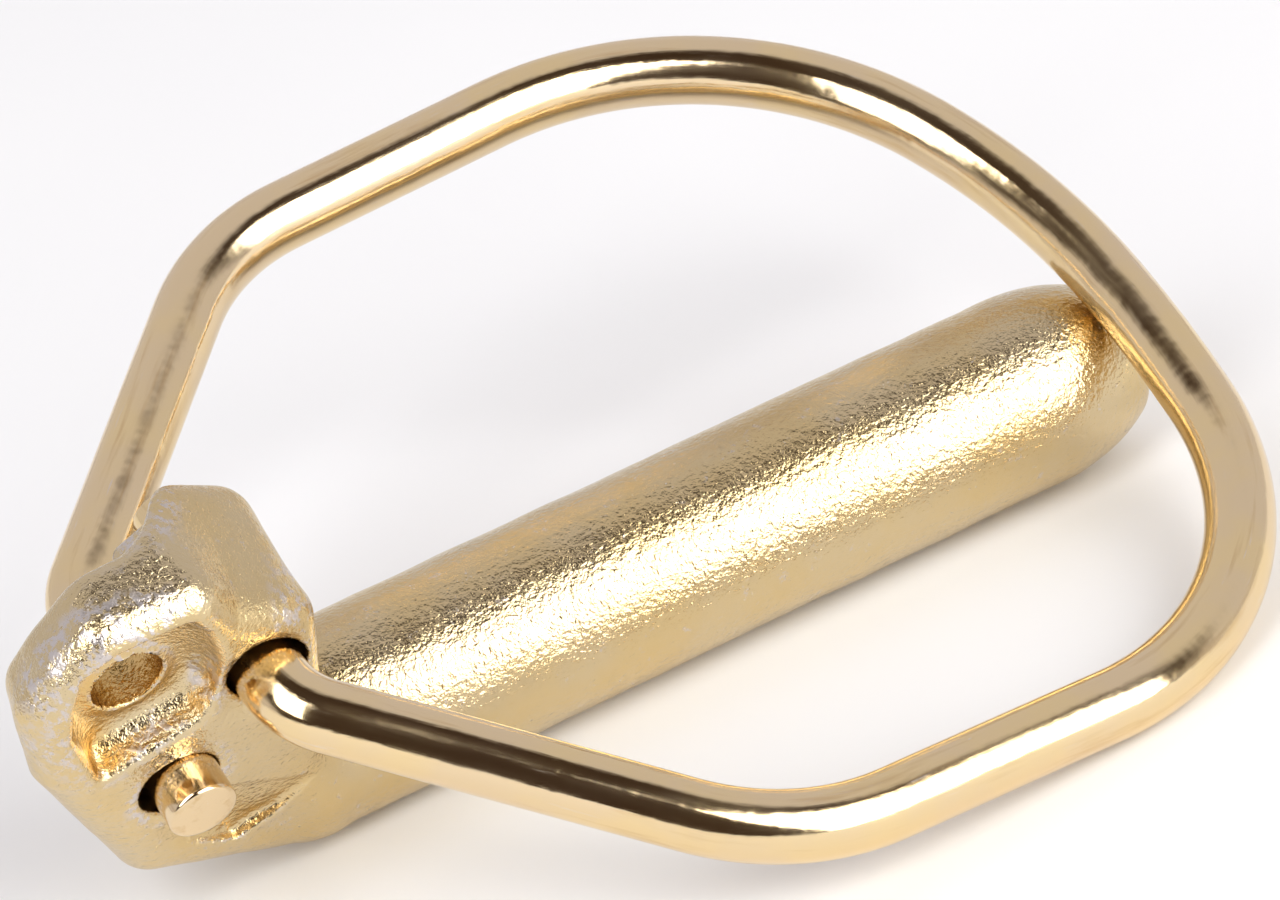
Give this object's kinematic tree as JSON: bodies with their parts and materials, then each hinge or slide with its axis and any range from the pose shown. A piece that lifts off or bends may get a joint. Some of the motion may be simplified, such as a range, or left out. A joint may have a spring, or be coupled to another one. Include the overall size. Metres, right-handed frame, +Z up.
{
  "type": "lynch pin",
  "caption": "Quick-locking cross pin: a round cast shank with a raised head and a hinged spring-wire ring that closes over the tip.",
  "frame": {"origin": "on the shank's axis at the head's shoulder, where the gauge length starts", "axes": "+X along the shank towards the tip, +Z up from the bench the pin lies on, with the near side of the ring (-Y) touching the bench"},
  "size_m": [0.063, 0.0465, 0.0249],
  "materials": {
    "cast_gold_zinc": "satin",
    "wire_gold_zinc": "gloss"
  },
  "bodies": {
    "pin": {"pin": "cast_gold_zinc"},
    "ring": {"ring": "wire_gold_zinc"}
  },
  "joints": [
    {"name": "ring_hinge", "type": "hinge", "parent": "pin", "child": "ring", "pos_m": [-0.0055, -0.00484, 0.00949], "axis": [0, -0.8906, -0.4547], "range_deg": [0, 180], "deforming": ["ring"]}
  ]
}
